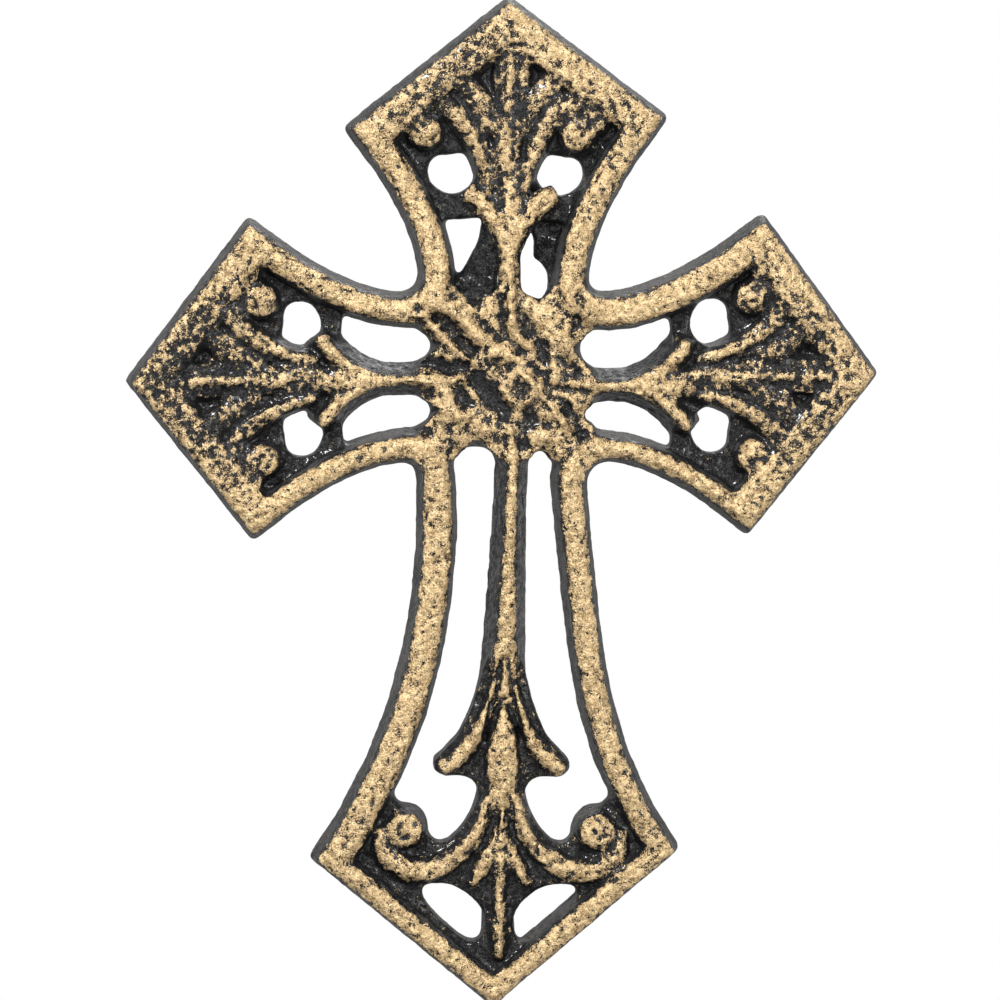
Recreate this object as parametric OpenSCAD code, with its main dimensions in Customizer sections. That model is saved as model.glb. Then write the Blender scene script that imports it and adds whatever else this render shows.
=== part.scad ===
// Openwork wall cross, cast in one piece: a flared four-armed frame with pointed heads, scrolled
// palmettes in the heads, a stem down each arm, a carved crossing and a keyhole hanger behind it.
// The pattern is drawn lying on its back: X across, Y up the cross and Z from the wall to the front.

/* [Outline] */
// From the middle of the crossing to the top tip
top_reach = 91; // [84:1:110]
// From the middle of the crossing to the tip of each side arm
side_reach = 90; // [84:0.5:110]
// From the middle of the crossing to the bottom tip
foot_reach = 151.5; // [140:0.5:180]
// How much higher the left arm lies than the right one
left_rise = 0.4; // [0:0.1:1]
// Length of a pointed head, from its shoulders to its tip
head_length = 30; // [26:0.5:34]
// Width of a head over its shoulders
head_width = 78; // [72:1:86]
// Length of the foot's pointed head
foot_head_length = 38; // [34:0.5:44]
// Width of the foot over its shoulders
foot_width = 90; // [82:1:98]
// Width of an arm where it leaves the crossing
waist_width = 41; // [38:0.5:46]
// Radius between two arms
crotch_radius = 4; // [3:0.5:6]
// Radius of the tips and shoulders
tip_radius = 2; // [1:0.25:3]
// Lean of the upright, in degrees, towards +X at the top
upright_lean = 1.1; // [0:0.1:2]
// Lean of the crossbar, in degrees, up towards +X
beam_lean = 0.5; // [0:0.1:2]
// How far the crossbar's middle line lies above the middle of the crossing
beam_rise = 0.6; // [0:0.1:1.5]
// How much further out one shoulder of the top and right heads is than the other
head_skew = 4; // [0:0.5:5]
// How much further out the left shoulder of the foot is than the right one
foot_skew = 3; // [0:0.5:5]
// How far the foot's left side bows towards +X
foot_left_bow = 0.5; // [0:0.1:2]
// How far the foot's right side bows towards +X
foot_right_bow = 1.2; // [0:0.1:2]
// How far the foot's right side sways, out near the crossing and in near the foot
foot_sway = 0.9; // [0:0.1:1.5]
// How far the top arm's middle line lies left of the middle of the crossing
top_shift = 0.6; // [0:0.1:1.5]

/* [Section] */
// Depth of the casting, from the wall to the front
casting_depth = 10; // [9:0.5:13]
// Width of a frame bar along the arms, at the wall
bar_width = 9.5; // [9:0.25:11]
// How much narrower the crossbar's lower bars are
lower_bar_slim = 0.9; // [0:0.1:1.5]
// Width of a frame bar round a head, at the wall
head_band = 11.5; // [10:0.25:13]
// Width of a frame bar round the foot, at the wall
foot_band = 8.5; // [8:0.25:10]
// Radius in the corners of a slot
slot_radius = 3; // [2:0.25:3.5]
// How far the crossbar's right bars lie under their place
right_bar_drop = 0.7; // [0:0.1:1]
// How much narrower the crossbar's upper left bar is
upper_left_slim = 0.6; // [0:0.1:1]
// How much wider the foot's left bar is
foot_left_stout = 0.8; // [0:0.1:1.5]
// How much narrower the foot's right bar is
foot_right_slim = 0.4; // [0:0.1:1]
// How far a bar's flank leans in from the wall to the front
draft = 1.6; // [1:0.1:2]
// How far a stem's flank leans in from the wall to the front
stem_draft = 3.3; // [2:0.1:3.6]
// How far the front of a bar is crowned
crown = 1.2; // [0.6:0.1:1.6]
// Thickness of the web behind a palmette
web_depth = 5; // [4:0.25:6]
// Sideways shift of the upright's ornament from the frame's middle line
ornament_shift = 1.1; // [0:0.1:2]

/* [Ornament] */
// Half width of the front of a stem
stem_half = 1.2; // [1:0.1:2]
// Radius of a scroll's boss in a head
boss_radius = 4.2; // [3.6:0.1:4.8]
// Radius of a scroll's boss in the foot
foot_boss_radius = 4.6; // [4.2:0.1:5.4]
// Half width of a palmette's middle leaf
leaf_half = 4.2; // [3.6:0.1:5]
// How far the crossbar's right stem lies under its arm's middle line
right_stem_drop = 2; // [0:0.1:2.5]
// How far the crossbar's left stem lies under its arm's middle line
left_stem_drop = 0.3; // [0:0.1:2]
// Sideways sway of the foot's stem at the crossing
stem_sway = 1.2; // [0:0.1:2]
// Half size of the carved block at the crossing, at the wall
crossing_half = 18; // [16:0.25:20]
// How far the block's middle lies above the middle of the crossing
crossing_rise = 2; // [0:0.1:2.5]
// How far the block's middle lies right of the middle of the crossing
crossing_shift = 0.5; // [0:0.1:1.5]
// How far the carving stands proud of the block
crossing_relief = 1.8; // [1.5:0.1:2.2]
// Radius of the dimple in the middle of the rosette
dimple_radius = 2.5; // [2:0.1:3]
// Depth of the dimple
dimple_depth = 3; // [1.5:0.25:4]

/* [Hanger] */
// Thickness of the hanger plate
hanger_depth = 2.5; // [2:0.25:3]
// Room for a screw head between the hanger plate and the stem
head_room = 4; // [3.5:0.25:5]
// How much wider than the keyhole's round end the hollow in front of it is
head_clearance = 0.5; // [0.25:0.25:1]
// Radius of the keyhole's round end
keyhole_radius = 6; // [5:0.25:6.5]
// Half width of the keyhole's slot
keyhole_slot_half = 2.5; // [2:0.1:3]
// From the round end's middle to the top of the slot's straight sides
keyhole_rise = 10; // [9:0.5:12]
// Height of the keyhole's round end above the middle of the crossing
keyhole_height = 23.5; // [22:0.5:25]
// Sideways place of the keyhole from the frame's middle line
keyhole_shift = 4.5; // [3:0.25:5]

/* [Hidden] */
$fn = 24;
gold = [0.62, 0.52, 0.36];

front = casting_depth;
// Depth to which a screw's head has room in front of the wall.
head_top = hanger_depth + head_room;
// Where the rosette lies from the middle of the carved block.
rosette_place = [3, -4];
edge_height = casting_depth - crown;
block_top = casting_depth - crossing_relief;
waist_half = waist_width / 2;
// Where the flared sides start, measured from the middle of the crossing.
flare_start = waist_half + crotch_radius;
// How late the sides flare: an arm's half width grows as this power of the way along it.
arm_flare = 1.6;
foot_flare = 2.45;
// How far the foot's ornament is drawn back from where its tip would put it.
foot_inset = 1;
// The same for the right arm's palmette, which lies further out.
right_inset = -1.2;
side_steps = 6;
crotch_steps = 3;
// Clear length of a side before its shoulder, so that the bar's inner edge doesn't fold.
shoulder_clear = 0.95 * head_band;
// Above this cosine, two edges count as one smooth run.
smooth_cosine = 0.95;

// ---- lists and curves ----

function flat(lists) = [for (list = lists) each list];
function reversed(list) = [for (i = [len(list) - 1:-1:0]) list[i]];
function mirrored(points) = [for (p = points) [p[0], -p[1]]];
function both_edges(side) = concat(side, reversed(mirrored(side)));
function turned(p, angle) = [p[0] * cos(angle) - p[1] * sin(angle), p[0] * sin(angle) + p[1] * cos(angle)];
function unit(v) = v / norm(v);
function left_of(v) = [-v[1], v[0]];

// One point of a Catmull-Rom curve between b and c.
function curve_point(a, b, c, d, t) =
    0.5 * (2 * b + (c - a) * t + (2 * a - 5 * b + 4 * c - d) * t * t + (3 * b - 3 * c + d - a) * t * t * t);
// A smooth curve through the points, of any dimension, with a number of steps between each two.
function curve(p, steps) = let (last = len(p) - 1) concat(
    [for (i = [0:last - 1]) for (s = [0:steps - 1])
        curve_point(p[max(i - 1, 0)], p[i], p[i + 1], p[min(i + 2, last)], s / steps)],
    [p[last]]);

// A smooth closed curve through the points, with a number of steps between each two.
function loop(p, steps) = let (n = len(p))
    [for (i = [0:n - 1]) for (s = [0:steps - 1])
        curve_point(p[(i + n - 1) % n], p[i], p[(i + 1) % n], p[(i + 2) % n], s / steps)];

// Faces between rings of points that all have the same number of points.
function ring_faces(rings, count, closed) = [
    for (r = [0:rings - (closed ? 1 : 2)]) for (i = [0:count - 1]) let (
        a = r * count + i,
        b = r * count + (i + 1) % count,
        c = ((r + 1) % rings) * count + (i + 1) % count,
        d = ((r + 1) % rings) * count + i)
    each [[a, b, c], [a, c, d]]];

// ---- the frame ----

// The four arms in turn, anticlockwise from the right one. Each has its angle, its reach, its head's length,
// its width over the shoulders, its flare, its band round the head, its middle line's shift to its left,
// how much further out its left shoulder is than its right one, then how far its right and its left side bow
// to its left, how far the left side sways, and how much slimmer its right and its left bar are.
arms = [
    [beam_lean, side_reach, head_length, head_width, arm_flare, head_band, beam_rise, head_skew,
        [0, 0], 0, [lower_bar_slim + right_bar_drop, -right_bar_drop]],
    [90 - upright_lean, top_reach, head_length, head_width, arm_flare, head_band, top_shift, -head_skew,
        [0, 0], 0, [0, 0]],
    [180 + beam_lean, side_reach, head_length, head_width, arm_flare, head_band, -beam_rise - left_rise, 0,
        [0, 0], 0, [upper_left_slim, lower_bar_slim]],
    [270 - upright_lean, foot_reach, foot_head_length, foot_width, foot_flare, foot_band, 0, -foot_skew,
        [foot_left_bow, foot_right_bow], foot_sway, [-foot_left_stout, foot_right_slim]]
];
right = 0;
top = 1;
left = 2;
foot = 3;

// One side of an arm in the arm's own frame, from the crossing out to the shoulder. X runs out along the
// arm, and the side is 1 for the arm's left and -1 for its right.
function arm_side(arm, side) = let (
        shoulder = arm[1] - arm[2] + side * arm[7] / 2,
        run = shoulder - flare_start,
        rise = arm[3] / 2 - waist_half,
        last = run - shoulder_clear,
        bow = arm[8][side < 0 ? 0 : 1],
        sway = side < 0 ? 0 : arm[9])
    concat(
        [for (i = [0:side_steps]) let (u = last * i / side_steps) [
            flare_start + u,
            side * (waist_half + rise * pow(u / run, arm[4]))
                + bow * sin(180 * u / run) + sway * sin(360 * u / run)]],
        [[shoulder, side * arm[3] / 2]]);
// The whole arm's edge in the cross's frame, from its right side round its tip to its left side.
function arm_edge(arm) =
    [for (p = concat(arm_side(arm, -1), [[arm[1], 0]], reversed(arm_side(arm, 1))))
        turned(p + [0, arm[6]], arm[0])];
// The bar's width along each of those edges, from each point to the next.
function arm_bars(arm) = let (sides = [for (slim = arm[10]) [for (i = [0:side_steps]) bar_width - slim]])
    concat(sides[0], [arm[5], arm[5]], sides[1], [bar_width]);

// The fillet between an arm and the next one round, as points from the first arm to the next.
function crotch(first, next) = let (
        a = turned([flare_start, waist_half + first[6]], first[0]),
        b = turned([flare_start, next[6] - waist_half], next[0]),
        corner = turned([waist_half - next[6], waist_half + first[6]], (first[0] + next[0] - 90) / 2))
    [for (i = [1:crotch_steps - 1]) let (t = i / crotch_steps)
        (1 - t) * (1 - t) * a + 2 * t * (1 - t) * corner + t * t * b];
// The next arm round, with its angle carried past a full turn.
function next_arm(i) = let (arm = arms[(i + 1) % 4])
    concat([arm[0] + (i == 3 ? 360 : 0)], [for (k = [1:len(arm) - 1]) arm[k]]);

outline = flat([for (i = [0:3]) concat(arm_edge(arms[i]), crotch(arms[i], next_arm(i)))]);
bars = flat([for (arm = arms) concat(arm_bars(arm), [for (i = [1:crotch_steps - 1]) bar_width])]);

// The outline moved in by its own distance along each edge. A distance list has one value for each edge.
function inset(points, distances) = let (n = len(points)) [for (i = [0:n - 1]) let (
        before = left_of(unit(points[i] - points[(i + n - 1) % n])),
        after = left_of(unit(points[(i + 1) % n] - points[i])),
        cosine = before * after,
        d1 = distances[(i + n - 1) % n],
        d2 = distances[i])
    points[i] + (cosine > smooth_cosine
        ? (before + after) * (d1 + d2) / 2 / (1 + cosine)
        : (before * (d1 - cosine * d2) + after * (d2 - cosine * d1)) / (1 - cosine * cosine))];

module frame() {
    // Round the bar's section: how much of the bar's width, how many drafts more, and the height.
    section = [
        [0, 0, 0],
        [1, 0, 0],
        [1, -1, edge_height],
        [1, -2, front],
        [0, 2, front],
        [0, 1, edge_height]
    ];
    polyhedron(
        flat([for (s = section)
            [for (p = inset(outline, [for (w = bars) s[0] * w + s[1] * draft])) [p[0], p[1], s[2]]]]),
        ring_faces(len(section), len(outline), true));
}

// What rounds the tips and shoulders. It clears the rest of the outline, so that no two faces lie together.
module rounded_outline() {
    clear = 0.1;
    translate([0, 0, -1]) linear_extrude(casting_depth + 2) offset(tip_radius + clear)
        offset(delta = -tip_radius) polygon(outline);
}

// ---- raised work ----

// A raised line with drafted flanks and a ridged front. Each point of the route is
// [x, y, half width of its front, height], and foot_z is where its flanks start.
module raised_line(route, steps = 2, foot_z = 0, lean = draft) {
    points = curve(route, steps);
    last = len(points) - 1;
    ring = [for (i = [0:last]) let (
            here = points[i],
            ahead = points[min(i + 1, last)] - points[max(i - 1, 0)],
            side = left_of(unit([ahead[0], ahead[1]])),
            half = here[2],
            high = here[3],
            spread = half + lean * (high - foot_z) / casting_depth,
            round_over = min(crown, half))
        for (s = [[-spread, foot_z], [-half, high - round_over], [0, high], [half, high - round_over],
                [spread, foot_z]])
            [here[0] + side[0] * s[0], here[1] + side[1] * s[0], s[1]]];
    count = 5;
    polyhedron(ring, concat(
        [[for (j = [count - 1:-1:0]) j]],
        ring_faces(last + 1, count, false),
        [[for (j = [0:count - 1]) last * count + j]]));
}

// A round boss with drafted sides and a domed front.
module boss(x, y, radius, height) {
    dome = 0.45 * radius;
    steps = 3;
    translate([x, y, 0]) rotate_extrude($fn = 14) polygon(concat(
        [[0, 0], [radius + draft * height / casting_depth, 0]],
        [for (i = [0:steps]) [radius * cos(90 * i / steps), height - dome + dome * sin(90 * i / steps)]]));
}

module both_sides() {
    children();
    mirror([0, 1, 0]) children();
}

// What rounds the end of a slot: it fills the corner between a wall along +X and a wall along +Y, and thins
// towards the front.
module slot_corner(x, y, angle, from, to, radius = slot_radius) {
    steps = 2;
    buried = 3.5;
    translate([x, y, from]) rotate(angle) linear_extrude(to - from, scale = 0.8) polygon(concat(
        [[-buried, -buried], [radius, -buried]],
        [for (i = [0:steps]) radius * [1 - sin(90 * i / steps), 1 - cos(90 * i / steps)]],
        [[-buried, radius]]));
}

// ---- what fills the arms, each in its arm's own frame with X running out along the arm ----

// The web, leaves and scrolls of a short arm's head, placed back from the arm's tip. The spread says how
// wide the scrolls on the arm's left and right lie, lean how far the middle leaf leans left, and sill how
// much further in the web reaches.
module palmette(reach, spread = [1, 1], lean = 0, sill = 0) {
    function back(distance) = reach - distance;
    linear_extrude(web_depth) difference() {
        polygon(both_edges([
            [back(8), 0],
            [back(head_length), 34],
            [back(44), 24],
            [back(50.4 + sill), 20],
            [back(51.8 + sill), 16.5],
            [back(51.6 + sill), 12],
            [back(51 + sill), 6]
        ]));
        // The opening inside each scroll
        both_sides() polygon(loop([
            [back(38), 13.4],
            [back(38.3), 16.6],
            [back(41), 18.4],
            [back(44.6), 17.6],
            [back(46.8), 14],
            [back(46.6), 10.4],
            [back(43.6), 7.4],
            [back(39.8), 6.9],
            [back(37.4), 9.4]
        ], 2));
    }
    // The raised ground between the leaves
    linear_extrude(web_depth + 0.8) polygon(both_edges([
        [back(7), 0],
        [back(20), 15],
        [back(34), 5],
        [back(47), 3]
    ]));
    // The middle leaf and its stalk
    raised_line([
        [back(48), 0, 2.2, 7.4],
        [back(40), 0, 2.9, 8.6],
        [back(31), 0, 3.1, 9.1],
        [back(27), 0.3 * lean, 2.8, 8.8],
        [back(19.5), 0.7 * lean, leaf_half, 9.5],
        [back(14.5), lean + 0.2, 3, 9],
        [back(11), 1.2 * lean + 0.4, 1.2, 8.2]
    ]);
    for (side = [0, 1]) mirror([0, side, 0]) {
        wide = spread[side];
        // A side leaf
        raised_line([
            [back(33), 3, 1.6, 8],
            [back(26), 6.4, 2.9, 9.2],
            [back(21.5), 10, 3.1, 9.1],
            [back(17.2), 13.6, 1.6, 8.2]
        ], steps = 1);
        // The scroll that runs out of the stalk and round its boss
        raised_line([
            [back(46), 4.2, 1.4, 7.6],
            [back(40.5), 5.2, 1.8, 8.6],
            [back(35.5), 7, 2.2, 8.9],
            [back(30.2), 10.2 * wide, 2.5, 9.2],
            [back(26.2), 14.4 * wide, 2.6, 9.3],
            [back(25.8), 19.2 * wide, 2.6, 9.1],
            [back(28.4), 23.2 * wide, 2.4, 8.9],
            [back(32.5), 24.6 * wide, 2, 8.6]
        ]);
        boss(back(32.6), 18.7 * wide, boss_radius, 9.4);
    }
}

// The stem of a short arm and its two horns.
module stem(reach, foot_z, lean = stem_draft) {
    function back(distance) = reach - distance;
    raised_line([
        [crossing_half / 2, 0, stem_half - 0.3, front - 0.8],
        [crossing_half - 2, 0, stem_half + 0.3, front - 0.6],
        [(crossing_half + back(58)) / 2, 0, stem_half, front - 0.6],
        [back(56), 0, stem_half + 0.5, front - 0.6],
        [back(50), 0, stem_half + 1.6, front - 1.5],
        [back(44.5), 0, 2.4, front - 1.9]
    ], foot_z = foot_z, lean = lean);
    both_sides() raised_line([
        [back(61), 0.3, 0.8, front - 0.8],
        [back(55), 2.4, 1.2, front - 0.6],
        [back(51), 5, 1.5, front - 0.6],
        [back(48), 8, 1.6, front - 0.6],
        [back(46.4), 11, 1.3, front - 1.1]
    ], steps = 1, foot_z = foot_z, lean = lean);
}

// The foot's long stem, with its barbs, bud, ribs, scrolls and the point that meets the frame.
module foot_ornament(reach) {
    function back(distance) = reach - distance;
    // The stem, widening down to the bud, and the web under the bud and the leaves
    raised_line([
        [crossing_half / 2, stem_sway, stem_half - 0.3, front - 1],
        [crossing_half - 2, stem_sway, stem_half - 0.1, front - 0.6],
        [(crossing_half + back(80)) / 2, stem_sway / 2, stem_half + 0.5, front - 0.6],
        [back(82), 0, stem_half + 1.5, front - 0.6],
        [back(74), 0, 3.8, front - 2.6]
    ], lean = stem_draft);
    linear_extrude(web_depth + 1) difference() {
        polygon(both_edges(concat([
            [back(5), 0],
            [back(34), 33.5],
            [back(44), 34.5]
        ], curve([
            [back(53.2), 30.5],
            [back(51.5), 26.5],
            [back(47.8), 23],
            [back(43.8), 18.6],
            [back(40), 15.4],
            [back(41), 11.8],
            [back(46.5), 7.6],
            [back(53), 5.6],
            [back(56), 8.8],
            [back(56.4), 14.8],
            [back(59.6), 16.4],
            [back(66), 10.6],
            [back(75), 6.9],
            [back(84), 4.6]
        ], 2))));
        // The opening between the frame, the middle rib and a scroll
        both_sides() polygon(loop([
            [back(15.8), 5.6],
            [back(18.6), 3.6],
            [back(23.2), 3.9],
            [back(27.4), 7.6],
            [back(29.8), 12.2],
            [back(29.4), 18.6],
            [back(24.4), 17],
            [back(17.8), 10]
        ], 2));
    }
    // The bud
    raised_line([
        [back(73.5), 0, 0.5, front - 1.4],
        [back(67), 0, 2.6, front - 0.2],
        [back(60), 0, 3.8, front],
        [back(54), 0, 3.2, front - 0.4],
        [back(49), 0, 2, front - 1]
    ]);
    // The middle rib, down to the frame
    raised_line([
        [back(51), 0, 1.3, front - 1],
        [back(44), 0, 1.3, front - 0.8],
        [back(37), 0, 1.9, front - 0.6],
        [back(29), 0, 1.3, front - 1.4],
        [back(20), 0, 1.3, front - 0.9],
        [back(12), 0, 1.3, front - 0.9]
    ], lean = stem_draft);
    both_sides() {
        // A barb, from the stem out to its point
        raised_line([
            [back(80), 1, 1, front - 0.6],
            [back(73), 3.6, 1.2, front - 0.8],
            [back(66), 6.4, 1.5, front - 0.9],
            [back(60.6), 10.6, 2.1, front - 1],
            [back(57.6), 14.8, 1.8, front - 1.3]
        ]);
        // A rib that curls out to its boss
        raised_line([
            [back(52), 3, 1.3, front - 1],
            [back(45), 4.8, 1.6, front - 0.8],
            [back(40), 7.6, 1.9, front - 0.7],
            [back(35.2), 13.4, 2.4, front - 0.6],
            [back(33.4), 19.4, 2.6, front - 0.6],
            [back(35.2), 25, 2.5, front - 0.7],
            [back(39), 28.4, 2.2, front - 1],
            [back(44), 28.6, 1.2, front - 1.6]
        ]);
        boss(back(43.2), 22.9, foot_boss_radius, front - 0.4);
        // A small leaf beside the middle rib
        raised_line([
            [back(41), 1.6, 1.2, front - 1.1],
            [back(35), 4, 1.8, front - 0.9],
            [back(29.8), 6.8, 1.2, front - 1.7]
        ], steps = 1);
    }
}

// ---- the crossing ----

module crossing() {
    flank_lean = 2.2;
    // How much larger the carving is than drawn.
    growth = crossing_half / 19.5;
    linear_extrude(block_top, scale = 1 - flank_lean / crossing_half)
        offset(1.5, $fn = 12) square(2 * crossing_half - 3, center = true);
    // The long petal past the rosette, the lobes above it, the fold at the left and the rim below
    for (petal = [
            [[-2, 8, 1.6], [5, 2.5, 3], [10.5, -5.5, 2.6], [15.5, -14, 1.6]],
            [[-17, 17.5, 2.2], [-12, 15.5, 3], [-7, 10, 3], [-1, 3.5, 1.4]],
            [[-18, 13, 0.8], [-13.5, 7.5, 0.9], [-8, 2.6, 0.7]],
            [[4, 17, 1], [9, 13, 2.2], [13.5, 9, 3], [17, 1, 1.6]],
            [[-17.5, -2, 1.8], [-15, -8.5, 2.6], [-9, -12.5, 2.8], [0, -15, 2], [14, -16.5, 2]]
    ]) raised_line([for (p = petal) [p[0] * growth, p[1] * growth, p[2], front - 0.5]], steps = 1,
        foot_z = web_depth);
    translate(rosette_place) difference() {
        boss(0, 0, 1.7 * dimple_radius, front - 0.2);
        translate([0, 0, front - dimple_depth])
            cylinder(2 * dimple_depth, dimple_radius, dimple_radius, $fn = 14);
    }
}

// ---- the hanger ----

// A plate that tapers upwards from behind the crossing, given from the keyhole's middle. Its left edge is
// cut further in.
module hanger_plate() {
    translate([keyhole_shift, keyhole_height]) linear_extrude(hanger_depth) polygon([
        [17, -10],
        [15.5, 2],
        [13, 19],
        [-9.4, 19],
        [-10.1, 12],
        [-10.8, 9.2],
        [-12.7, 5.8],
        [-15.2, 1.5],
        [-17, -10]
    ]);
}

// The keyhole, cut right through the plate, and the hollow for the screw's head in the back of the crossing.
module keyhole() {
    through = hanger_depth + 1;
    translate([keyhole_shift, keyhole_height, -1]) {
        cylinder(through, keyhole_radius, keyhole_radius);
        translate([-keyhole_slot_half, 0, 0]) cube([2 * keyhole_slot_half, keyhole_rise, through]);
        translate([0, keyhole_rise, 0]) cylinder(through, keyhole_slot_half, keyhole_slot_half);
    }
    translate([keyhole_shift, keyhole_height, hanger_depth])
        cylinder(head_room, keyhole_radius + head_clearance, keyhole_radius + head_clearance);
}

// ---- the casting ----

module in_arm(which, shift = 0) {
    rotate(arms[which][0]) translate([0, arms[which][6] + shift, 0]) children();
}

// The rounded ends of an arm's two slots at the crossing, whose block ends at face. Corners says how large
// the corners beside the stem are.
module slot_ends(face, stem_base, stem_place = 0, from = 0, corners = slot_radius) {
    to = block_top - 0.4;
    both_sides() {
        slot_corner(face, waist_half - bar_width, -90, from, to);
    }
    slot_corner(face, stem_place + stem_base, 0, from, to, corners);
    slot_corner(face, stem_place - stem_base, -90, from, to, corners);
}

module casting() {
    intersection() {
        union() {
            frame();
            translate([crossing_shift, crossing_rise, 0]) crossing();
            for (side = [
                    [right, -right_stem_drop, crossing_half + crossing_shift, right_inset],
                    [left, left_stem_drop, crossing_half - crossing_shift, 0]
            ]) {
                in_arm(side[0], side[1]) stem(side_reach, 0);
                in_arm(side[0]) palmette(side_reach - side[3]);
                in_arm(side[0]) slot_ends(side[2], stem_half + stem_draft, side[1]);
            }
            in_arm(top) palmette(top_reach, spread = [1.03, 0.88], lean = -ornament_shift, sill = 1.6);
            in_arm(top, -ornament_shift) stem(top_reach, head_top, 2 * stem_draft);
            in_arm(top) slot_ends(crossing_half + crossing_rise, stem_half + 1, -ornament_shift, head_top,
                1.6 * slot_radius);
            in_arm(foot, ornament_shift) foot_ornament(foot_reach - foot_inset);
            in_arm(foot) slot_ends(crossing_half - crossing_rise, stem_half + stem_draft - 0.4,
                ornament_shift + stem_sway);
            hanger_plate();
        }
        rounded_outline();
    }
}

module cast_cross() {
    color(gold) rotate([90, 0, 0]) translate([-keyhole_shift, -keyhole_height, 0]) difference() {
        resize([0, 0, casting_depth]) casting();
        keyhole();
    }
}

cast_cross();
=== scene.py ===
"""The finish of a cast iron wall cross: a rounded cast surface, black paint and rubbed gold."""

import math

import bmesh
import bpy
import numpy as np
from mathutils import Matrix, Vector, kdtree


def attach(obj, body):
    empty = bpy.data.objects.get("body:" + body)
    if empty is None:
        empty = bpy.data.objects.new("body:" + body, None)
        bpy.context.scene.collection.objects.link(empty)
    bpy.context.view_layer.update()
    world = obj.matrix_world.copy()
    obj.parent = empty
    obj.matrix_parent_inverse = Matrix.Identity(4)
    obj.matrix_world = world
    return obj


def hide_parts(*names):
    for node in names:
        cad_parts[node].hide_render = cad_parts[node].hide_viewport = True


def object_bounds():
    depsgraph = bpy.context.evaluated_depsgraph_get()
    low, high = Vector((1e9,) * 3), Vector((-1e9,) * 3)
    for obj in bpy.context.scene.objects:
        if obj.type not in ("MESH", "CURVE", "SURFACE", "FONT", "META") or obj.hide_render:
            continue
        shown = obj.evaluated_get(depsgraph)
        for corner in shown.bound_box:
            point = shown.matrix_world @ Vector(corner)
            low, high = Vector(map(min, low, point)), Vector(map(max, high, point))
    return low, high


bl_info = {
    "name": "Cast iron wall cross",
    "version": (1, 0, 0),
    "blender": (4, 5, 0),
    "location": "3D View > Sidebar > Wall cross",
    "description": "Casts the cross's surface, paints it and lights it",
    "category": "Object",
}

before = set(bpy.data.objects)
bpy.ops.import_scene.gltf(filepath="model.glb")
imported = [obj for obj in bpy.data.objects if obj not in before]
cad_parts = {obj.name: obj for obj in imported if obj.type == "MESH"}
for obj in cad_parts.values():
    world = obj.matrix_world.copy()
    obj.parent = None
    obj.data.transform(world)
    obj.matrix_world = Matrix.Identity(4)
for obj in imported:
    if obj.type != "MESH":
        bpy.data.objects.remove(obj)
LOWEST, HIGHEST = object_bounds()
MM = 0.001


# ---- settings ----


class CastingSettings(bpy.types.PropertyGroup):
    grain: bpy.props.FloatProperty(
        name="Grain",
        description="Size of the cells that the surface is worked in",
        default=0.5 * MM,
        subtype="DISTANCE",
        unit="LENGTH",
    )
    rounding: bpy.props.IntProperty(
        name="Rounding",
        description="How many times the edges are rubbed round",
        default=11,
        min=0,
    )
    roughcast: bpy.props.FloatProperty(
        name="Roughcast",
        description="Height of the lumps that the sand mould leaves",
        default=0.36 * MM,
        subtype="DISTANCE",
        unit="LENGTH",
    )
    triangles: bpy.props.IntProperty(
        name="Triangles",
        description="Most triangles that the finished casting may have",
        default=190000,
    )
    crossing_drop: bpy.props.FloatProperty(
        name="Crossing drop",
        description="Height of the top tip over the middle of the crossing",
        default=90.6 * MM,
        subtype="DISTANCE",
        unit="LENGTH",
    )


class PaintSettings(bpy.types.PropertyGroup):
    black: bpy.props.FloatVectorProperty(
        name="Black",
        description="Colour of the black paint",
        default=(0.007, 0.007, 0.008),
        subtype="COLOR",
        size=3,
    )
    gold: bpy.props.FloatVectorProperty(
        name="Gold",
        description="Colour of the rubbed gold where it lies thick",
        default=(0.9, 0.675, 0.385),
        subtype="COLOR",
        size=3,
    )
    umber: bpy.props.FloatVectorProperty(
        name="Umber",
        description="Colour of the gold where it lies thin",
        default=(0.24, 0.158, 0.07),
        subtype="COLOR",
        size=3,
    )
    # This colour is partly duller black paint and partly painted sheen: it lightens the sides and
    # the back in place of the light they catch at a slant.
    dull_and_sheen: bpy.props.FloatVectorProperty(
        name="Dull black and sheen",
        description="Colour of the black where it has dulled on the sides and the back",
        default=(0.078, 0.075, 0.072),
        subtype="COLOR",
        size=3,
    )
    black_gloss: bpy.props.FloatProperty(
        name="Black roughness", description="Roughness of the black paint", default=0.26
    )
    flank_gloss: bpy.props.FloatProperty(
        name="Flank roughness",
        description="Roughness of the black on the sides and the back",
        default=0.6,
    )
    gold_gloss: bpy.props.FloatProperty(
        name="Gold roughness", description="Roughness of the gold", default=0.47
    )


class StageSettings(bpy.types.PropertyGroup):
    left: bpy.props.FloatProperty(
        name="To the left",
        description="How far the camera stands to the left",
        default=math.radians(3.4),
        subtype="ANGLE",
        unit="ROTATION",
    )
    above: bpy.props.FloatProperty(
        name="Above",
        description="How far the camera stands above",
        default=math.radians(5.4),
        subtype="ANGLE",
        unit="ROTATION",
    )
    distance: bpy.props.FloatProperty(
        name="Distance",
        description="Distance from the camera to the cross",
        default=0.9,
        subtype="DISTANCE",
        unit="LENGTH",
    )
    field: bpy.props.FloatProperty(
        name="Field",
        description="Width of the view at the cross",
        default=0.2385,
        subtype="DISTANCE",
        unit="LENGTH",
    )


# ---- surface tools ----


def points_of(mesh):
    """The mesh's points as rows of x, y, z."""
    flat = np.empty(len(mesh.vertices) * 3)
    mesh.vertices.foreach_get("co", flat)
    return flat.reshape(-1, 3)


def normals_of(mesh):
    """The mesh's point normals as rows of x, y, z."""
    flat = np.empty(len(mesh.vertices) * 3)
    mesh.vertex_normals.foreach_get("vector", flat)
    return flat.reshape(-1, 3)


def move_points(mesh, points):
    mesh.vertices.foreach_set("co", points.astype(np.float32).ravel())
    mesh.update()


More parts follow.
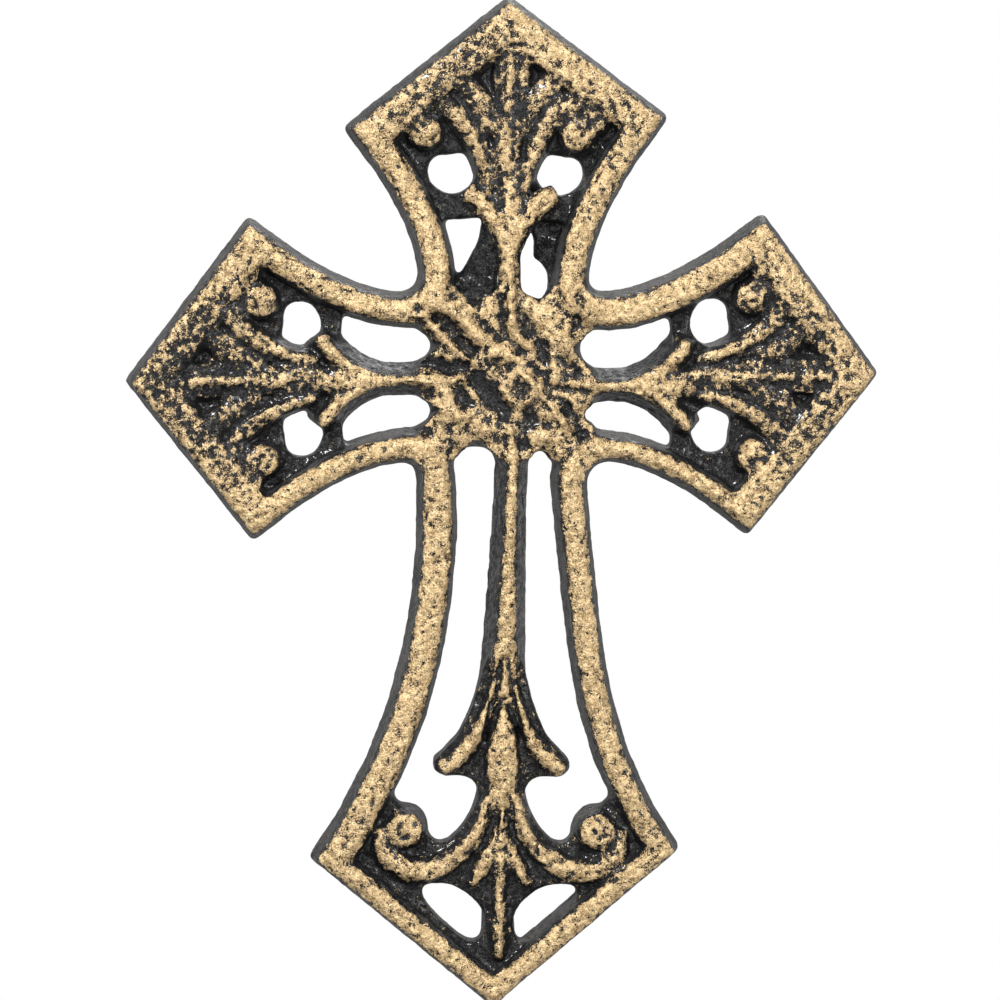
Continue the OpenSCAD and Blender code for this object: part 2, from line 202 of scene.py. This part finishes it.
class Neighbours:
    """Averages values over each point's neighbours along the mesh's edges."""

    def __init__(self, mesh):
        ends = np.empty(len(mesh.edges) * 2, int)
        mesh.edges.foreach_get("vertices", ends)
        self.a, self.b = ends[0::2], ends[1::2]
        self.count = len(mesh.vertices)
        self.valence = np.maximum(np.bincount(ends, minlength=self.count), 1)

    def mean(self, values):
        total = np.bincount(self.a, values[self.b], self.count)
        total += np.bincount(self.b, values[self.a], self.count)
        return total / self.valence

    def smooth(self, rows, times, share=0.6):
        out = rows.copy()
        for _ in range(times):
            for k in range(out.shape[1]):
                out[:, k] += share * (self.mean(out[:, k]) - out[:, k])
        return out


# How many random values a cloud has along each side before it repeats.
CLOUD_SIDE = 32


def cloud(points, size, seed):
    """Smooth noise from -1 to 1 whose lumps are about size across."""
    table = np.random.default_rng(seed).uniform(-1, 1, (CLOUD_SIDE,) * 3)
    place = points / size
    cell = np.floor(place).astype(int)
    t = place - cell
    t = t * t * (3 - 2 * t)
    total = np.zeros(len(points))
    for corner in np.ndindex(2, 2, 2):
        share = np.ones(len(points))
        for k in range(3):
            share *= t[:, k] if corner[k] else 1 - t[:, k]
        i, j, k = ((cell + corner) % CLOUD_SIDE).T
        total += share * table[i, j, k]
    return total


def ramp(values, low, high):
    """A smooth step from 0 at low to 1 at high."""
    t = np.clip((values - low) / (high - low), 0, 1)
    return t * t * (3 - 2 * t)


def remeshed(obj, size):
    """A new mesh over obj in cells of that size."""
    wrap = obj.modifiers.new("Wrap", "REMESH")
    wrap.mode = "VOXEL"
    wrap.voxel_size = size
    wrap.use_smooth_shade = True
    worked = evaluated(obj)
    obj.modifiers.remove(wrap)
    return worked


def thinned(obj, triangles):
    """A new mesh like obj's with about that many triangles."""
    present = sum(len(p.vertices) - 2 for p in obj.data.polygons)
    thin = obj.modifiers.new("Thin", "DECIMATE")
    thin.ratio = min(1.0, triangles / present)
    worked = evaluated(obj)
    obj.modifiers.remove(thin)
    return worked


def evaluated(obj):
    graph = bpy.context.evaluated_depsgraph_get()
    return bpy.data.meshes.new_from_object(obj.evaluated_get(graph))


# ---- carving ----

# Lines are drawn on the front in millimetres. Each has its points, its half width, and its
# height or depth.

# From the middle of the crossing: across and up.
CROSSING_CUTS = (
    # beside the long petal
    (((1.7, 7.5), (6.5, 3.4), (9.1, 0.5), (11.7, -4.3), (15.3, -8.7), (18.3, -12.7)), 1.6, 1.9),
    # under the fold, beside the rosette and between the lower lobes
    (((-14.4, 13.0), (-9.3, 8.2)), 2.3, 2.2),
    (((-6.8, 0.6), (-3.6, -3.6), (-0.6, -6.6)), 2.6, 2.2),
    (((-11.6, -0.9), (-9.4, -4.8)), 1.9, 1.7),
    (((5.7, -9.4), (4.2, -13.2)), 2.4, 2.0),
    (((-3.9, -9.9), (-1.2, -12.1)), 1.8, 1.4),
    (((8.6, -9.4), (12.0, -12.4)), 1.1, 0.9),
    # between the upper lobes
    (((5.4, 15.2), (6.0, 11.2)), 2.3, 1.3),
    (((8.4, 8.6), (9.6, 5.2)), 1.9, 1.9),
    (((14.8, 4.8), (17.0, 2.4)), 1.9, 1.8),
    (((-0.8, 19.6), (-0.3, 14.0), (0.6, 10.0)), 1.5, 1.9),
    (((17.0, 20.4), (18.0, 17.0), (16.0, 12.6)), 1.1, 1.3),
    (((-7.6, 14.8), (-3.8, 12.4), (-1.4, 10.4)), 1.3, 1.1),
    # round the stems' ends
    (((-18.6, 4.6), (-14.4, 3.6), (-10.6, 3.4)), 1.6, 2.1),
    (((-19.0, -3.2), (-15.8, -3.4)), 0.9, 1.2),
    (((12.6, -1.4), (16.4, -1.8), (19.4, -2.2)), 1.1, 1.6),
    (((-14.8, -12.4), (-13.5, -15.6)), 1.5, 0.6),
    (((-18.2, -12.0), (-17.2, -12.8)), 1.2, 1.1),
    (((-21.8, 17.8), (-20.0, 16.6)), 1.3, 0.8),
)
CROSSING_RIDGES = (
    (((0.2, 6.6), (5.0, 3.0), (9.0, -2.6), (12.0, -7.2), (15.6, -12.0)), 2.6, 0.7),
    (((-19.6, 15.6), (-14.1, 9.7), (-8.9, 5.3)), 1.1, 0.9),
    (((-15.0, 18.6), (-10.4, 15.4), (-6.4, 10.8), (-2.4, 6.8)), 2.4, 0.6),
    (((-10.6, 1.8), (-7.4, -3.5)), 0.9, 0.7),
    (((-24.0, 0.9), (-17.0, 1.0), (-12.4, -0.2)), 1.8, 0.7),
    (((2.1, 21.0), (1.7, 14.0), (2.2, 11.2), (5.4, 8.4)), 1.3, 0.9),
    (((11.6, -0.2), (12.5, 2.0), (11.7, 4.8)), 1.3, 1.0),
    (((15.2, -3.8), (16.6, -5.8)), 1.2, 0.8),
    (((9.6, 17.2), (13.4, 12.6), (14.6, 8.0)), 2.0, 0.6),
    (((-16.6, -4.0), (-14.2, -8.4), (-8.6, -7.4)), 1.9, 0.6),
    (((18.0, 9.6), (17.6, 4.6), (20.0, 1.8), (25.0, 1.2)), 1.2, 0.7),
)
# How much wider the ridges and cuts are made than drawn, and how deep the cuts go of their depth.
RIDGE_WIDTH = 1.15
CUT_WIDTH = 1.4
CUT_SHARE = 0.62
# The rosette's ring: its middle, its radius, its half width and its height.
ROSETTE = ((3.0, -1.7), 3.7, 1.2, 0.8)
# Where the block meets the bars' corners, and the height to which the metal fills them. Metal
# lower than the floor isn't filled.
FILLETS = ((14.5, -14.6), (-15.5, -14.2))
FILLET_RADIUS = 2.6
FILLET_HEIGHT = 8.4
FILLET_FLOOR = 3

# Along a head's middle line: back from the tip, and to its left. They lie on both sides.
HEAD_CUTS = (
    # down the middle leaf and its stalk
    (((14.6, 1.8), (18.0, 2.6), (23.0, 2.4), (28.0, 1.6)), 1.2, 0.35),
    (((31.0, 1.5), (38.0, 1.7)), 1.2, 0.3),
    # between the scroll and the side leaf
    (((40.0, 3.4), (33.0, 6.4), (27.4, 9.4), (23.4, 13.2)), 0.9, 0.6),
)
HEAD_RIDGES = (
    (((14.0, 0.2), (20.0, 0.0), (27.0, 0.0)), 1.0, 0.5),
)
# A scroll's groove: the boss's middle, its radius, the groove's half width and its depth.
HEAD_BOSS = ((32.6, 18.7), 2.7, 0.9, 0.4)

# The same along the foot.
FOOT_CUTS = (
    (((85.0, 0.6), (78.0, 1.8), (72.0, 3.2), (66.0, 4.6)), 1.0, 1.8),
    (((52.0, 2.2), (45.0, 3.4), (39.6, 6.4), (35.4, 12.6)), 0.8, 0.6),
    (((50.0, 0.9), (42.0, 0.9), (34.0, 1.0)), 0.7, 0.4),
)
FOOT_BOSS = ((43.2, 22.9), 2.9, 1.0, 0.6)


# Each short arm's angle in degrees, its reach, its middle line's rise, and how far its scrolls
# spread to the left and to the right.
HEADS = (
    (0.5, 91.2, 0.6, (1, 1)),
    (88.9, 91, 0.6, (1.03, 0.88)),
    (180.5, 90, -1, (1, 1)),
)
# The foot's angle, its reach and its middle line's rise.
FOOT = (268.9, 150.5, 1.1)


def away_from(places, route):
    """Each place's distance to the nearest point of a route of straight runs."""
    nearest = np.full(len(places), np.inf)
    for start, end in zip(route, route[1:]):
        start, run = np.array(start), np.subtract(end, start)
        share = np.clip((places - start) @ run / (run @ run), 0, 1)
        away = np.linalg.norm(places - start - share[:, None] * run, axis=1)
        nearest = np.minimum(nearest, away)
    return nearest


def trough(away, half):
    """The section of a cut or a ridge: 1 in its middle, and 0 from half away."""
    return np.clip(1 - (away / half) ** 2, 0, None) ** 1.5


def drawn(places, lines, widen=1):
    """The highest of the lines at each place."""
    height = np.zeros(len(places))
    for route, half, rise in lines:
        height = np.maximum(height, rise * trough(away_from(places, route), widen * half))
    return height


def ring(places, middle, radius, half, rise):
    away = np.abs(np.linalg.norm(places - np.array(middle), axis=1) - radius)
    return rise * trough(away, half)


# The groove's turn in degrees, from its outer end, and in how many steps it would reach the middle.
CURL_TURN = range(-60, 300, 30)
CURL_STEPS = 14


def curl(places, middle, radius, half, rise):
    """A groove that winds in to the middle of a boss."""
    turn = [math.radians(a) for a in CURL_TURN]
    route = [
        (
            middle[0] + radius * (1 - i / CURL_STEPS) * math.cos(a),
            middle[1] + radius * (1 - i / CURL_STEPS) * math.sin(a),
        )
        for i, a in enumerate(turn)
    ]
    return rise * trough(away_from(places, route), half)


def in_arm(places, angle, reach, rise):
    """Places along an arm: back from its tip, and to its left."""
    a = math.radians(angle)
    out = places @ np.array([math.cos(a), math.sin(a)])
    left = places @ np.array([-math.sin(a), math.cos(a)])
    return np.column_stack([reach - out, left - rise])


def carved(places):
    """How far the carving lifts the front at each place, in millimetres."""
    lift = drawn(places, CROSSING_RIDGES, RIDGE_WIDTH)
    lift = lift - CUT_SHARE * drawn(places, CROSSING_CUTS, CUT_WIDTH)
    lift += ring(places, *ROSETTE)
    for angle, reach, rise, spread in HEADS:
        local = in_arm(places, angle, reach, rise)
        wide = np.where(local[:, 1] > 0, spread[0], spread[1])
        folded = np.column_stack([local[:, 0], np.abs(local[:, 1]) / wide])
        lift += drawn(folded, HEAD_RIDGES) - drawn(folded, HEAD_CUTS)
        lift -= curl(folded, *HEAD_BOSS)
    local = in_arm(places, *FOOT)
    folded = np.column_stack([local[:, 0], np.abs(local[:, 1])])
    lift -= drawn(folded, FOOT_CUTS)
    lift -= curl(folded, *FOOT_BOSS)
    return lift


# ---- the casting ----

# Where a place counts as facing front, from not at all to fully, for each kind of work.
FACING_CARVED = (0.2, 0.8)
FACING_ROUGH = (0.1, 0.7)
FACING_RUBBED = (0.3, 0.8)
# How far the carved lines stray, in millimetres: the share, size and first seed of each cloud.
WANDER = ((0.55, 3.5, 21), (0.3, 1.6, 31))
# The lumps of the cast skin: the share, size in millimetres and seed of each cloud.
LUMPS = ((0.35, 9, 6), (0.4, 5, 1), (0.45, 2.6, 2), (0.4, 1.4, 3), (0.45, 0.9, 7))
# The pits in the front: the same, and the heights of the clouds between which a pit deepens.
PITS = ((1, 1.5, 4), (0.5, 9, 5))
PIT_RAMP = (0.35, 0.8)
# How much of the lumps the sides and the back have, and how thick a slice counts as the back.
SIDE_SHARE = 0.4
BACK_SHARE = 0.35
BACK_SLICE = 0.3
# How many times the surface is smoothed after the carving.
CARVED_PASSES = 3


def crossing_middle(drop):
    """The middle of the crossing on the wall, from the CAD box."""
    return np.array([(LOWEST.x + HIGHEST.x) / 2, HIGHEST.z - drop])


def clouds(points, parts, step=0):
    """Clouds of several sizes laid over each other."""
    return sum(share * cloud(points, size * MM, seed + step) for share, size, seed in parts)


def cast_surface(settings):
    """The casting's rounded and rough surface, with how much gold was rubbed on at each point."""
    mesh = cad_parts["cast_cross"].data.copy()
    mesh.materials.clear()
    bm = bmesh.new()
    bm.from_mesh(mesh)
    bmesh.ops.remove_doubles(bm, verts=bm.verts, dist=1e-6)
    bm.to_mesh(mesh)
    bm.free()
    casting = bpy.data.objects.new("casting", mesh)
    bpy.context.scene.collection.objects.link(casting)
    casting.data = remeshed(casting, settings.grain)

    around = Neighbours(casting.data)
    points = around.smooth(points_of(casting.data), settings.rounding)
    move_points(casting.data, points)

    places = (points[:, [0, 2]] - crossing_middle(settings.crossing_drop)) / MM
    facing = ramp(-normals_of(casting.data)[:, 1], *FACING_CARVED)
    wander = [clouds(points, WANDER, k) for k in (0, 1)]
    points[:, 1] -= MM * facing * carved(places + np.column_stack(wander))
    for fillet in FILLETS:
        close = np.linalg.norm(places - fillet, axis=1) < FILLET_RADIUS
        filled = close & (points[:, 1] < -FILLET_FLOOR * MM)
        points[filled, 1] = np.minimum(points[filled, 1], -FILLET_HEIGHT * MM)
    points = around.smooth(points, CARVED_PASSES)
    points = np.clip(points, LOWEST, HIGHEST)
    move_points(casting.data, points)

    normals = normals_of(casting.data)
    facing = ramp(-normals[:, 1], *FACING_ROUGH)
    lumps = clouds(points, LUMPS) - facing * ramp(clouds(points, PITS), *PIT_RAMP)
    share = SIDE_SHARE + (1 - SIDE_SHARE) * facing
    share[points[:, 1] > -BACK_SLICE * MM] = BACK_SHARE
    points += normals * (settings.roughcast * share * lumps)[:, None]
    points = np.clip(points, LOWEST, HIGHEST)
    move_points(casting.data, points)

    rub = rubbed(casting.data, around, places)
    dense = casting.data
    dense_points = points_of(dense)
    casting.data = thinned(casting, settings.triangles)
    carry(casting.data, dense_points, {"rub": rub, "front": facing})
    bpy.data.meshes.remove(dense)
    casting.data.name = "casting"
    move_points(casting.data, np.clip(points_of(casting.data), LOWEST, HIGHEST))
    for face in casting.data.polygons:
        face.use_smooth = True
    return casting


# Where the brush left less gold: across and up from the middle of the crossing in millimetres,
# how far that reaches, and how much less.
THIN_GOLD = (
    (-72, 4, 38, 0.6),
    (-60, -14, 24, 0.3),
    (-8, 76, 28, 0.5),
    (-24, 64, 20, 0.35),
    (10, 62, 20, 0.25),
    (26, 58, 16, 0.2),
    (68, -4, 32, 0.56),
    (60, 20, 20, 0.3),
    (-4, -2, 20, 0.26),
    (14, 4, 10, 0.2),
    (-28, -108, 16, 0.3),
    (26, -110, 16, 0.35),
    (0, -124, 24, 0.3),
)


# Why the brush leaves gold: the share of each reason, and where it starts and is at its fullest.
RUB_HIGH = (0.5, 0.55, 0.93)
RUB_FORM = (0.3, -0.7, 0.6)
RUB_RIDGE = (0.42, -0.12, 0.12)
# A drift in the gold: the share, size in millimetres and seed of its cloud.
RUB_DRIFT = ((0.12, 13, 11),)
# How far the ridges keep their gold where the brush left less.
RIDGE_KEEPS = (0.45, 0.02, 0.16)
# Below the first height there is no gold. From the second one it is full.
GOLD_HEIGHT = (0.4, 0.8)
# How many times the surface is smoothed to tell its ridges and its larger forms.
RIDGE_PASSES = 8
FORM_PASSES = 50


def part(values, rule):
    """A ramp that ends at its share."""
    share, low, high = rule
    return share * ramp(values, low, high)


def rubbed(mesh, around, places):
    """How much gold a nearly dry brush leaves at each point: more where it is high and proud."""
    points = points_of(mesh)
    normals = normals_of(mesh)
    near = around.smooth(points, RIDGE_PASSES)
    far = around.smooth(near, FORM_PASSES)
    ridge = np.einsum("ij,ij->i", points - near, normals) / MM
    form = np.einsum("ij,ij->i", points - far, normals) / MM
    height = -points[:, 1] / (HIGHEST.y - LOWEST.y)
    facing = ramp(-normals[:, 1], *FACING_RUBBED)
    rub = part(height, RUB_HIGH) + part(form, RUB_FORM) + part(ridge, RUB_RIDGE)
    rub += clouds(points, RUB_DRIFT)
    loses = 1 - part(ridge, RIDGE_KEEPS)
    for across, up, reach, share in THIN_GOLD:
        away = np.hypot(places[:, 0] - across, places[:, 1] - up)
        rub -= share * ramp(reach - away, 0, reach) * loses
    return facing * ramp(height, *GOLD_HEIGHT) * np.clip(rub, 0, 1)


def carry(mesh, sources, values):
    """Gives the mesh's points the values of the nearest source points."""
    tree = kdtree.KDTree(len(sources))
    for i, p in enumerate(sources):
        tree.insert(p, i)
    tree.balance()
    nearest = [tree.find(v.co)[1] for v in mesh.vertices]
    for name, each in values.items():
        attribute = mesh.attributes.new(name, "FLOAT", "POINT")
        attribute.data.foreach_set("value", each[nearest].astype(np.float32))


# ---- paint ----

# The two noises that each mottling is cut from, how soft its edges are, and its level.
COVER = {"Coarse": 680.0, "Fine": 3100.0, "Softness": 0.03}
PATCHES = {"Coarse": 90.0, "Fine": 700.0, "Softness": 0.2, "Level": 0.51}
THICK = {"Coarse": 620.0, "Fine": 2600.0, "Softness": 0.17, "Level": 0.5}
GLINTS = {"Coarse": 700.0, "Fine": 2400.0, "Softness": 0.06, "Level": 0.47}
# The level of the gold's cover where nothing and where everything was rubbed on.
COVER_LEVEL = (0.34, 0.57)
GOLD_METAL = 0.8
BLACK_SPECULAR = 0.15
COAT_ROUGHNESS = 0.16
# The sandy grain: its scale, its detail, its roughness, its height and its strength.
SAND_SCALE = 1300
SAND_DETAIL = 5
SAND_ROUGHNESS = 0.6
SAND_HEIGHT = 0.7 * MM
SAND_STRENGTH = 0.9


def socket(group, name, kind, way="INPUT", default=None):
    made = group.interface.new_socket(name=name, in_out=way, socket_type=kind)
    if default is not None:
        made.default_value = default
    return made


def noise(nodes, detail, roughness, distortion=0.0):
    node = nodes.new("ShaderNodeTexNoise")
    node.inputs["Detail"].default_value = detail
    node.inputs["Roughness"].default_value = roughness
    node.inputs["Distortion"].default_value = distortion
    return node


def reckoned(tree, operation, *values, clamp=False):
    """The result of a sum on numbers and sockets."""
    node = tree.nodes.new("ShaderNodeMath")
    node.operation = operation
    node.use_clamp = clamp
    fill(tree, node.inputs, values)
    return node.outputs[0]


def spread(tree, value, low=0.0, high=1.0):
    """Takes a value between 0 and 1 to a place between low and high."""
    node = tree.nodes.new("ShaderNodeMapRange")
    sockets = [node.inputs[name] for name in ("Value", "To Min", "To Max")]
    fill(tree, sockets, (value, low, high))
    return node.outputs["Result"]


def blend(tree, share, first, second):
    """A colour between the first, where the share is 0, and the second."""
    node = tree.nodes.new("ShaderNodeMix")
    node.data_type = "RGBA"
    sockets = [node.inputs[name] for name in ("Factor", "A", "B")]
    fill(tree, sockets, (share, first, second))
    return node.outputs["Result"]


def fill(tree, sockets, values):
    """Links each socket to a value that is a socket itself, and sets it to any other."""
    for each, value in zip(sockets, values):
        if isinstance(value, bpy.types.NodeSocket):
            tree.links.new(value, each)
        else:
            each.default_value = value


def speckle_group():
    """Mottling: an uneven mask between 0 and 1 from two sizes of noise, cut at a level."""
    group = bpy.data.node_groups.new("Speckle", "ShaderNodeTree")
    socket(group, "Vector", "NodeSocketVector")
    socket(group, "Level", "NodeSocketFloat", default=0.5)
    socket(group, "Coarse", "NodeSocketFloat", default=300.0)
    socket(group, "Fine", "NodeSocketFloat", default=1200.0)
    socket(group, "Softness", "NodeSocketFloat", default=0.1)
    socket(group, "Mask", "NodeSocketFloat", "OUTPUT")
    nodes, links = group.nodes, group.links
    into = nodes.new("NodeGroupInput")
    out = nodes.new("NodeGroupOutput")
    coarse = noise(nodes, 3, 0.6, 0.4)
    fine = noise(nodes, 2, 0.65)
    for node, scale in ((coarse, "Coarse"), (fine, "Fine")):
        links.new(into.outputs["Vector"], node.inputs["Vector"])
        links.new(into.outputs[scale], node.inputs["Scale"])
    both = reckoned(group, "ADD", coarse.outputs["Fac"], fine.outputs["Fac"])
    raised = reckoned(group, "MULTIPLY_ADD", both, 0.5, into.outputs["Level"])
    cut = nodes.new("ShaderNodeMapRange")
    cut.interpolation_type = "SMOOTHSTEP"
    links.new(raised, cut.inputs["Value"])
    low = reckoned(group, "SUBTRACT", 1.0, into.outputs["Softness"])
    high = reckoned(group, "ADD", 1.0, into.outputs["Softness"])
    links.new(low, cut.inputs["From Min"])
    links.new(high, cut.inputs["From Max"])
    links.new(cut.outputs["Result"], out.inputs["Mask"])
    return group


def mottled(tree, group, where, **values):
    """A mask of the group's mottling with those values."""
    node = tree.nodes.new("ShaderNodeGroup")
    node.node_tree = group
    fill(tree, [node.inputs[name] for name in values], values.values())
    tree.links.new(where, node.inputs["Vector"])
    return node.outputs["Mask"]


def attribute(tree, name):
    node = tree.nodes.new("ShaderNodeAttribute")
    node.attribute_name = name
    return node.outputs["Fac"]


def antiqued_iron(paint):
    """Black semi-gloss paint under gold rubbed on with a nearly dry brush."""
    material = bpy.data.materials.new("antiqued_iron")
    material.use_nodes = True
    tree = material.node_tree
    nodes, links = tree.nodes, tree.links
    shader = nodes["Principled BSDF"]
    where = nodes.new("ShaderNodeTexCoord").outputs["Object"]
    rub, front = attribute(tree, "rub"), attribute(tree, "front")
    speckle = speckle_group()
    cover = mottled(tree, speckle, where, Level=spread(tree, rub, *COVER_LEVEL), **COVER)

    patches = mottled(tree, speckle, where, **PATCHES)
    # Painted sheen: the sides and the back are mottled towards a lighter black, partly duller paint
    # and partly lightening in place of the light they catch.
    dull_and_sheen = reckoned(tree, "SUBTRACT", patches, front, clamp=True)
    black = blend(tree, dull_and_sheen, (*paint.black, 1), (*paint.dull_and_sheen, 1))
    thick = mottled(tree, speckle, where, **THICK)
    gold = blend(tree, thick, (*paint.umber, 1), (*paint.gold, 1))
    links.new(blend(tree, cover, black, gold), shader.inputs["Base Color"])

    links.new(spread(tree, cover, 0.0, GOLD_METAL), shader.inputs["Metallic"])
    flank = spread(tree, front, paint.flank_gloss, paint.black_gloss)
    links.new(spread(tree, cover, flank, paint.gold_gloss), shader.inputs["Roughness"])
    shader.inputs["Specular IOR Level"].default_value = BLACK_SPECULAR

    bare = reckoned(tree, "SUBTRACT", front, cover, clamp=True)
    glints = mottled(tree, speckle, where, **GLINTS)
    links.new(reckoned(tree, "MULTIPLY", bare, glints), shader.inputs["Coat Weight"])
    shader.inputs["Coat Roughness"].default_value = COAT_ROUGHNESS

    sand = noise(nodes, SAND_DETAIL, SAND_ROUGHNESS)
    sand.inputs["Scale"].default_value = SAND_SCALE
    links.new(where, sand.inputs["Vector"])
    bump = nodes.new("ShaderNodeBump")
    bump.inputs["Distance"].default_value = SAND_HEIGHT
    bump.inputs["Strength"].default_value = SAND_STRENGTH
    links.new(sand.outputs["Fac"], bump.inputs["Height"])
    links.new(bump.outputs["Normal"], shader.inputs["Normal"])
    return material


# ---- the stage ----

# Each lamp: its place from the middle of the cross, its width and its power.
LAMPS = {
    "key": ((-0.55, -0.7, 0.85), 0.35, 16),
    "glint": ((0.25, -1.3, 0.75), 0.12, 5),
    "fill": ((0.8, -0.9, 0.1), 0.8, 4),
    "rear": ((0.2, 0.9, 0.7), 0.7, 4),
}
SURROUNDINGS = 0.25
FLOOR_DROP = 0.9
FLOOR_RADIUS = 1.6
FLOOR_SEGMENTS = 64
FLOOR_COLOUR = (0.9, 0.9, 0.9, 1)
FLOOR_ROUGHNESS = 0.8
WHITE = (1, 1, 1, 1)
# How far the camera aims to the right of the middle of the cross, and above it.
AIM = (-0.8 * MM, 1.5 * MM)


def area_lamp(name, place, target, size, power):
    light = bpy.data.lights.new(name, "AREA")
    light.shape = "DISK"
    light.size = size
    light.energy = power
    lamp = bpy.data.objects.new(name, light)
    bpy.context.scene.collection.objects.link(lamp)
    lamp.location = place
    lamp.rotation_euler = (target - place).to_track_quat("-Z", "Y").to_euler()
    return lamp


def white_surroundings(level):
    """A world that looks white, also in reflections, and lights the cross at a plain level."""
    world = bpy.data.worlds.new("surroundings")
    bpy.context.scene.world = world
    world.use_nodes = True
    nodes, links = world.node_tree.nodes, world.node_tree.links
    light = nodes["Background"]
    light.inputs["Color"].default_value = WHITE
    light.inputs["Strength"].default_value = level
    shown = nodes.new("ShaderNodeBackground")
    shown.inputs["Color"].default_value = WHITE
    rays = nodes.new("ShaderNodeLightPath")
    seen, mirrored = rays.outputs["Is Camera Ray"], rays.outputs["Is Glossy Ray"]
    mix = nodes.new("ShaderNodeMixShader")
    links.new(reckoned(world.node_tree, "ADD", seen, mirrored, clamp=True), mix.inputs["Fac"])
    links.new(light.outputs[0], mix.inputs[1])
    links.new(shown.outputs[0], mix.inputs[2])
    links.new(mix.outputs[0], nodes["World Output"].inputs["Surface"])


def pale_floor(middle, drop):
    bm = bmesh.new()
    bmesh.ops.create_circle(bm, cap_ends=True, segments=FLOOR_SEGMENTS, radius=FLOOR_RADIUS)
    mesh = bpy.data.meshes.new("floor")
    bm.to_mesh(mesh)
    bm.free()
    floor = bpy.data.objects.new("floor", mesh)
    floor.location = middle - Vector((0, 0, drop))
    bpy.context.scene.collection.objects.link(floor)
    material = bpy.data.materials.new("floor_white")
    material.use_nodes = True
    shader = material.node_tree.nodes["Principled BSDF"]
    shader.inputs["Base Color"].default_value = FLOOR_COLOUR
    shader.inputs["Roughness"].default_value = FLOOR_ROUGHNESS
    mesh.materials.append(material)
    return floor


# ---- operators ----


class CROSS_OT_casting(bpy.types.Operator):
    """Make the casting and paint it"""

    bl_idname = "cross.casting"
    bl_label = "Casting"

    def execute(self, context):
        casting = cast_surface(context.scene.cross_casting)
        casting.data.materials.append(antiqued_iron(context.scene.cross_paint))
        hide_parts("cast_cross")
        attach(casting, "root")
        return {"FINISHED"}


class CROSS_OT_stage(bpy.types.Operator):
    """Set up the floor, the lamps and the camera"""

    bl_idname = "cross.stage"
    bl_label = "Stage"

    def execute(self, context):
        scene = context.scene
        stage = scene.cross_stage
        middle = (LOWEST + HIGHEST) / 2
        pale_floor(middle, FLOOR_DROP)
        white_surroundings(SURROUNDINGS)
        for name, (place, size, power) in LAMPS.items():
            area_lamp(name, middle + Vector(place), middle, size, power)
        back = Vector(
            (
                -math.sin(stage.left) * math.cos(stage.above),
                -math.cos(stage.left) * math.cos(stage.above),
                math.sin(stage.above),
            )
        )
        lens = bpy.data.cameras.new("camera")
        lens.lens = lens.sensor_width * stage.distance / stage.field
        camera = bpy.data.objects.new("camera", lens)
        scene.collection.objects.link(camera)
        target = Vector((middle.x + AIM[0], HIGHEST.y, middle.z + AIM[1]))
        camera.location = target + back * stage.distance
        camera.rotation_euler = (-back).to_track_quat("-Z", "Y").to_euler()
        scene.camera = camera
        scene.view_settings.view_transform = "Standard"
        return {"FINISHED"}


class CROSS_PT_panel(bpy.types.Panel):
    """The steps that make the cross"""

    bl_idname = "CROSS_PT_panel"
    bl_label = "Wall cross"
    bl_space_type = "VIEW_3D"
    bl_region_type = "UI"
    bl_category = "Wall cross"

    def draw(self, context):
        for step in (CROSS_OT_casting, CROSS_OT_stage):
            self.layout.operator(step.bl_idname)


CLASSES = (
    CastingSettings,
    PaintSettings,
    StageSettings,
    CROSS_OT_casting,
    CROSS_OT_stage,
    CROSS_PT_panel,
)


def register():
    for each in CLASSES:
        bpy.utils.register_class(each)
    bpy.types.Scene.cross_casting = bpy.props.PointerProperty(type=CastingSettings)
    bpy.types.Scene.cross_paint = bpy.props.PointerProperty(type=PaintSettings)
    bpy.types.Scene.cross_stage = bpy.props.PointerProperty(type=StageSettings)


def unregister():
    del bpy.types.Scene.cross_stage
    del bpy.types.Scene.cross_paint
    del bpy.types.Scene.cross_casting
    for each in reversed(CLASSES):
        bpy.utils.unregister_class(each)


def main():
    register()
    bpy.ops.cross.casting()
    bpy.ops.cross.stage()


if __name__ == "__main__":
    main()
